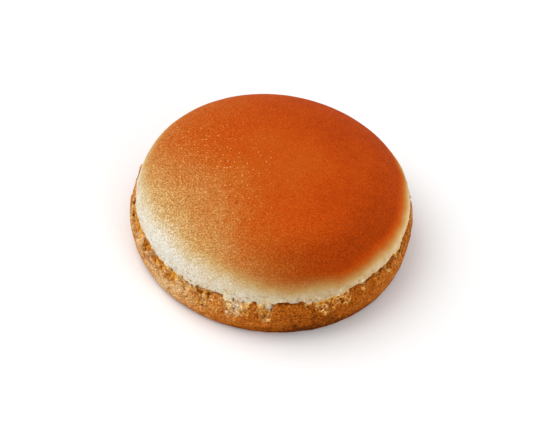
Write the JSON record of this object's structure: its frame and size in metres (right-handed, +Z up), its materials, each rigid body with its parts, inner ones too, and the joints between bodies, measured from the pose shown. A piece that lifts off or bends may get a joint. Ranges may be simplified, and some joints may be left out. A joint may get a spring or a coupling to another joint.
{
  "type": "bread roll",
  "caption": "Round soft bread roll, uncut, with a domed browned crown, a pale torn band below it and a broad crusty foot that it rests on.",
  "frame": {"origin": "centre of the flat underside that the roll rests on", "axes": "+Z up through the middle of the crown; -Y is the side seen first, +X to its right"},
  "size_m": [0.1, 0.1, 0.036],
  "materials": {
    "baked_crust": "matt baked crust: deep orange-brown crown fading to a cream unbrowned band, above a rough golden-brown foot"
  },
  "bodies": {
    "root": {"bread_roll": "baked_crust"}
  },
  "joints": []
}
